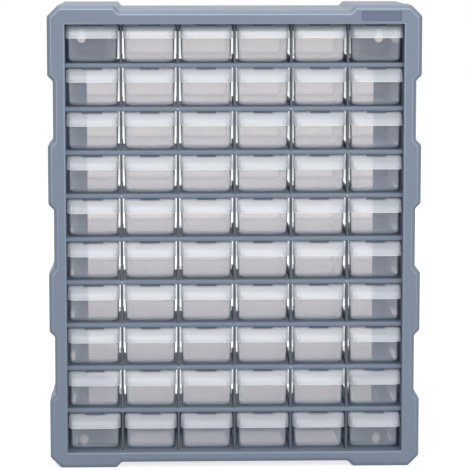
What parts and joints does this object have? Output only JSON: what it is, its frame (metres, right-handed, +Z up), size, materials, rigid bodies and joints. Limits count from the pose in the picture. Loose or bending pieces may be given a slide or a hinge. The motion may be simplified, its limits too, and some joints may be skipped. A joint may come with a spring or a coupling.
{
  "type": "parts bin cabinet",
  "caption": "Small-parts cabinet with a stepped, moulded plastic housing and a grid of clear pull-out drawers with hooded pulls; stands on its feet or hangs on keyholes.",
  "frame": {"origin": "centre of the base at floor level, midway between the fronts of the drawer pulls and the back", "axes": "+X to the right seen from the front, +Y to the back, +Z up; drawers pull out along -Y"},
  "size_m": [0.38, 0.162, 0.475],
  "materials": {
    "housing": "blue-grey injection-moulded high-impact polystyrene, satin",
    "drawer": "clear injection-moulded polystyrene with a faint frost, gloss"
  },
  "bodies": {
    "cabinet": {"front_frame": "housing", "rear_housing": "housing"},
    "drawer_r01_c1": {"drawer_r01_c1": "drawer"},
    "drawer_r01_c2": {"drawer_r01_c2": "drawer"},
    "drawer_r01_c3": {"drawer_r01_c3": "drawer"},
    "drawer_r01_c4": {"drawer_r01_c4": "drawer"},
    "drawer_r01_c5": {"drawer_r01_c5": "drawer"},
    "drawer_r01_c6": {"drawer_r01_c6": "drawer"},
    "drawer_r02_c1": {"drawer_r02_c1": "drawer"},
    "drawer_r02_c2": {"drawer_r02_c2": "drawer"},
    "drawer_r02_c3": {"drawer_r02_c3": "drawer"},
    "drawer_r02_c4": {"drawer_r02_c4": "drawer"},
    "drawer_r02_c5": {"drawer_r02_c5": "drawer"},
    "drawer_r02_c6": {"drawer_r02_c6": "drawer"},
    "drawer_r03_c1": {"drawer_r03_c1": "drawer"},
    "drawer_r03_c2": {"drawer_r03_c2": "drawer"},
    "drawer_r03_c3": {"drawer_r03_c3": "drawer"},
    "drawer_r03_c4": {"drawer_r03_c4": "drawer"},
    "drawer_r03_c5": {"drawer_r03_c5": "drawer"},
    "drawer_r03_c6": {"drawer_r03_c6": "drawer"},
    "drawer_r04_c1": {"drawer_r04_c1": "drawer"},
    "drawer_r04_c2": {"drawer_r04_c2": "drawer"},
    "drawer_r04_c3": {"drawer_r04_c3": "drawer"},
    "drawer_r04_c4": {"drawer_r04_c4": "drawer"},
    "drawer_r04_c5": {"drawer_r04_c5": "drawer"},
    "drawer_r04_c6": {"drawer_r04_c6": "drawer"},
    "drawer_r05_c1": {"drawer_r05_c1": "drawer"},
    "drawer_r05_c2": {"drawer_r05_c2": "drawer"},
    "drawer_r05_c3": {"drawer_r05_c3": "drawer"},
    "drawer_r05_c4": {"drawer_r05_c4": "drawer"},
    "drawer_r05_c5": {"drawer_r05_c5": "drawer"},
    "drawer_r05_c6": {"drawer_r05_c6": "drawer"},
    "drawer_r06_c1": {"drawer_r06_c1": "drawer"},
    "drawer_r06_c2": {"drawer_r06_c2": "drawer"},
    "drawer_r06_c3": {"drawer_r06_c3": "drawer"},
    "drawer_r06_c4": {"drawer_r06_c4": "drawer"},
    "drawer_r06_c5": {"drawer_r06_c5": "drawer"},
    "drawer_r06_c6": {"drawer_r06_c6": "drawer"},
    "drawer_r07_c1": {"drawer_r07_c1": "drawer"},
    "drawer_r07_c2": {"drawer_r07_c2": "drawer"},
    "drawer_r07_c3": {"drawer_r07_c3": "drawer"},
    "drawer_r07_c4": {"drawer_r07_c4": "drawer"},
    "drawer_r07_c5": {"drawer_r07_c5": "drawer"},
    "drawer_r07_c6": {"drawer_r07_c6": "drawer"},
    "drawer_r08_c1": {"drawer_r08_c1": "drawer"},
    "drawer_r08_c2": {"drawer_r08_c2": "drawer"},
    "drawer_r08_c3": {"drawer_r08_c3": "drawer"},
    "drawer_r08_c4": {"drawer_r08_c4": "drawer"},
    "drawer_r08_c5": {"drawer_r08_c5": "drawer"},
    "drawer_r08_c6": {"drawer_r08_c6": "drawer"},
    "drawer_r09_c1": {"drawer_r09_c1": "drawer"},
    "drawer_r09_c2": {"drawer_r09_c2": "drawer"},
    "drawer_r09_c3": {"drawer_r09_c3": "drawer"},
    "drawer_r09_c4": {"drawer_r09_c4": "drawer"},
    "drawer_r09_c5": {"drawer_r09_c5": "drawer"},
    "drawer_r09_c6": {"drawer_r09_c6": "drawer"},
    "drawers_r10_c1_c2": {"drawers_r10_c1_c2": "drawer"},
    "drawer_r10_c3": {"drawer_r10_c3": "drawer"},
    "drawer_r10_c4": {"drawer_r10_c4": "drawer"},
    "drawers_r10_c5_c6": {"drawers_r10_c5_c6": "drawer"}
  },
  "joints": [
    {"name": "slide_r01_c1", "type": "slide", "parent": "cabinet", "child": "drawer_r01_c1", "axis": [0, -1, 0], "range_m": [0, 0.1345]},
    {"name": "slide_r01_c2", "type": "slide", "parent": "cabinet", "child": "drawer_r01_c2", "axis": [0, -1, 0], "range_m": [0, 0.1345]},
    {"name": "slide_r01_c3", "type": "slide", "parent": "cabinet", "child": "drawer_r01_c3", "axis": [0, -1, 0], "range_m": [0, 0.1345]},
    {"name": "slide_r01_c4", "type": "slide", "parent": "cabinet", "child": "drawer_r01_c4", "axis": [0, -1, 0], "range_m": [0, 0.1345]},
    {"name": "slide_r01_c5", "type": "slide", "parent": "cabinet", "child": "drawer_r01_c5", "axis": [0, -1, 0], "range_m": [0, 0.1345]},
    {"name": "slide_r01_c6", "type": "slide", "parent": "cabinet", "child": "drawer_r01_c6", "axis": [0, -1, 0], "range_m": [0, 0.1345]},
    {"name": "slide_r02_c1", "type": "slide", "parent": "cabinet", "child": "drawer_r02_c1", "axis": [0, -1, 0], "range_m": [0, 0.1345]},
    {"name": "slide_r02_c2", "type": "slide", "parent": "cabinet", "child": "drawer_r02_c2", "axis": [0, -1, 0], "range_m": [0, 0.1345]},
    {"name": "slide_r02_c3", "type": "slide", "parent": "cabinet", "child": "drawer_r02_c3", "axis": [0, -1, 0], "range_m": [0, 0.1345]},
    {"name": "slide_r02_c4", "type": "slide", "parent": "cabinet", "child": "drawer_r02_c4", "axis": [0, -1, 0], "range_m": [0, 0.1345]},
    {"name": "slide_r02_c5", "type": "slide", "parent": "cabinet", "child": "drawer_r02_c5", "axis": [0, -1, 0], "range_m": [0, 0.1345]},
    {"name": "slide_r02_c6", "type": "slide", "parent": "cabinet", "child": "drawer_r02_c6", "axis": [0, -1, 0], "range_m": [0, 0.1345]},
    {"name": "slide_r03_c1", "type": "slide", "parent": "cabinet", "child": "drawer_r03_c1", "axis": [0, -1, 0], "range_m": [0, 0.1345]},
    {"name": "slide_r03_c2", "type": "slide", "parent": "cabinet", "child": "drawer_r03_c2", "axis": [0, -1, 0], "range_m": [0, 0.1345]},
    {"name": "slide_r03_c3", "type": "slide", "parent": "cabinet", "child": "drawer_r03_c3", "axis": [0, -1, 0], "range_m": [0, 0.1345]},
    {"name": "slide_r03_c4", "type": "slide", "parent": "cabinet", "child": "drawer_r03_c4", "axis": [0, -1, 0], "range_m": [0, 0.1345]},
    {"name": "slide_r03_c5", "type": "slide", "parent": "cabinet", "child": "drawer_r03_c5", "axis": [0, -1, 0], "range_m": [0, 0.1345]},
    {"name": "slide_r03_c6", "type": "slide", "parent": "cabinet", "child": "drawer_r03_c6", "axis": [0, -1, 0], "range_m": [0, 0.1345]},
    {"name": "slide_r04_c1", "type": "slide", "parent": "cabinet", "child": "drawer_r04_c1", "axis": [0, -1, 0], "range_m": [0, 0.1345]},
    {"name": "slide_r04_c2", "type": "slide", "parent": "cabinet", "child": "drawer_r04_c2", "axis": [0, -1, 0], "range_m": [0, 0.1345]},
    {"name": "slide_r04_c3", "type": "slide", "parent": "cabinet", "child": "drawer_r04_c3", "axis": [0, -1, 0], "range_m": [0, 0.1345]},
    {"name": "slide_r04_c4", "type": "slide", "parent": "cabinet", "child": "drawer_r04_c4", "axis": [0, -1, 0], "range_m": [0, 0.1345]},
    {"name": "slide_r04_c5", "type": "slide", "parent": "cabinet", "child": "drawer_r04_c5", "axis": [0, -1, 0], "range_m": [0, 0.1345]},
    {"name": "slide_r04_c6", "type": "slide", "parent": "cabinet", "child": "drawer_r04_c6", "axis": [0, -1, 0], "range_m": [0, 0.1345]},
    {"name": "slide_r05_c1", "type": "slide", "parent": "cabinet", "child": "drawer_r05_c1", "axis": [0, -1, 0], "range_m": [0, 0.1345]},
    {"name": "slide_r05_c2", "type": "slide", "parent": "cabinet", "child": "drawer_r05_c2", "axis": [0, -1, 0], "range_m": [0, 0.1345]},
    {"name": "slide_r05_c3", "type": "slide", "parent": "cabinet", "child": "drawer_r05_c3", "axis": [0, -1, 0], "range_m": [0, 0.1345]},
    {"name": "slide_r05_c4", "type": "slide", "parent": "cabinet", "child": "drawer_r05_c4", "axis": [0, -1, 0], "range_m": [0, 0.1345]},
    {"name": "slide_r05_c5", "type": "slide", "parent": "cabinet", "child": "drawer_r05_c5", "axis": [0, -1, 0], "range_m": [0, 0.1345]},
    {"name": "slide_r05_c6", "type": "slide", "parent": "cabinet", "child": "drawer_r05_c6", "axis": [0, -1, 0], "range_m": [0, 0.1345]},
    {"name": "slide_r06_c1", "type": "slide", "parent": "cabinet", "child": "drawer_r06_c1", "axis": [0, -1, 0], "range_m": [0, 0.1345]},
    {"name": "slide_r06_c2", "type": "slide", "parent": "cabinet", "child": "drawer_r06_c2", "axis": [0, -1, 0], "range_m": [0, 0.1345]},
    {"name": "slide_r06_c3", "type": "slide", "parent": "cabinet", "child": "drawer_r06_c3", "axis": [0, -1, 0], "range_m": [0, 0.1345]},
    {"name": "slide_r06_c4", "type": "slide", "parent": "cabinet", "child": "drawer_r06_c4", "axis": [0, -1, 0], "range_m": [0, 0.1345]},
    {"name": "slide_r06_c5", "type": "slide", "parent": "cabinet", "child": "drawer_r06_c5", "axis": [0, -1, 0], "range_m": [0, 0.1345]},
    {"name": "slide_r06_c6", "type": "slide", "parent": "cabinet", "child": "drawer_r06_c6", "axis": [0, -1, 0], "range_m": [0, 0.1345]},
    {"name": "slide_r07_c1", "type": "slide", "parent": "cabinet", "child": "drawer_r07_c1", "axis": [0, -1, 0], "range_m": [0, 0.1345]},
    {"name": "slide_r07_c2", "type": "slide", "parent": "cabinet", "child": "drawer_r07_c2", "axis": [0, -1, 0], "range_m": [0, 0.1345]},
    {"name": "slide_r07_c3", "type": "slide", "parent": "cabinet", "child": "drawer_r07_c3", "axis": [0, -1, 0], "range_m": [0, 0.1345]},
    {"name": "slide_r07_c4", "type": "slide", "parent": "cabinet", "child": "drawer_r07_c4", "axis": [0, -1, 0], "range_m": [0, 0.1345]},
    {"name": "slide_r07_c5", "type": "slide", "parent": "cabinet", "child": "drawer_r07_c5", "axis": [0, -1, 0], "range_m": [0, 0.1345]},
    {"name": "slide_r07_c6", "type": "slide", "parent": "cabinet", "child": "drawer_r07_c6", "axis": [0, -1, 0], "range_m": [0, 0.1345]},
    {"name": "slide_r08_c1", "type": "slide", "parent": "cabinet", "child": "drawer_r08_c1", "axis": [0, -1, 0], "range_m": [0, 0.1345]},
    {"name": "slide_r08_c2", "type": "slide", "parent": "cabinet", "child": "drawer_r08_c2", "axis": [0, -1, 0], "range_m": [0, 0.1345]},
    {"name": "slide_r08_c3", "type": "slide", "parent": "cabinet", "child": "drawer_r08_c3", "axis": [0, -1, 0], "range_m": [0, 0.1345]},
    {"name": "slide_r08_c4", "type": "slide", "parent": "cabinet", "child": "drawer_r08_c4", "axis": [0, -1, 0], "range_m": [0, 0.1345]},
    {"name": "slide_r08_c5", "type": "slide", "parent": "cabinet", "child": "drawer_r08_c5", "axis": [0, -1, 0], "range_m": [0, 0.1345]},
    {"name": "slide_r08_c6", "type": "slide", "parent": "cabinet", "child": "drawer_r08_c6", "axis": [0, -1, 0], "range_m": [0, 0.1345]},
    {"name": "slide_r09_c1", "type": "slide", "parent": "cabinet", "child": "drawer_r09_c1", "axis": [0, -1, 0], "range_m": [0, 0.1345]},
    {"name": "slide_r09_c2", "type": "slide", "parent": "cabinet", "child": "drawer_r09_c2", "axis": [0, -1, 0], "range_m": [0, 0.1345]},
    {"name": "slide_r09_c3", "type": "slide", "parent": "cabinet", "child": "drawer_r09_c3", "axis": [0, -1, 0], "range_m": [0, 0.1345]},
    {"name": "slide_r09_c4", "type": "slide", "parent": "cabinet", "child": "drawer_r09_c4", "axis": [0, -1, 0], "range_m": [0, 0.1345]},
    {"name": "slide_r09_c5", "type": "slide", "parent": "cabinet", "child": "drawer_r09_c5", "axis": [0, -1, 0], "range_m": [0, 0.1345]},
    {"name": "slide_r09_c6", "type": "slide", "parent": "cabinet", "child": "drawer_r09_c6", "axis": [0, -1, 0], "range_m": [0, 0.1345]},
    {"name": "slides_r10_c1_c2", "type": "slide", "parent": "cabinet", "child": "drawers_r10_c1_c2", "axis": [0, -1, 0], "range_m": [0, 0.1345]},
    {"name": "slide_r10_c3", "type": "slide", "parent": "cabinet", "child": "drawer_r10_c3", "axis": [0, -1, 0], "range_m": [0, 0.1345]},
    {"name": "slide_r10_c4", "type": "slide", "parent": "cabinet", "child": "drawer_r10_c4", "axis": [0, -1, 0], "range_m": [0, 0.1345]},
    {"name": "slides_r10_c5_c6", "type": "slide", "parent": "cabinet", "child": "drawers_r10_c5_c6", "axis": [0, -1, 0], "range_m": [0, 0.1345]}
  ]
}
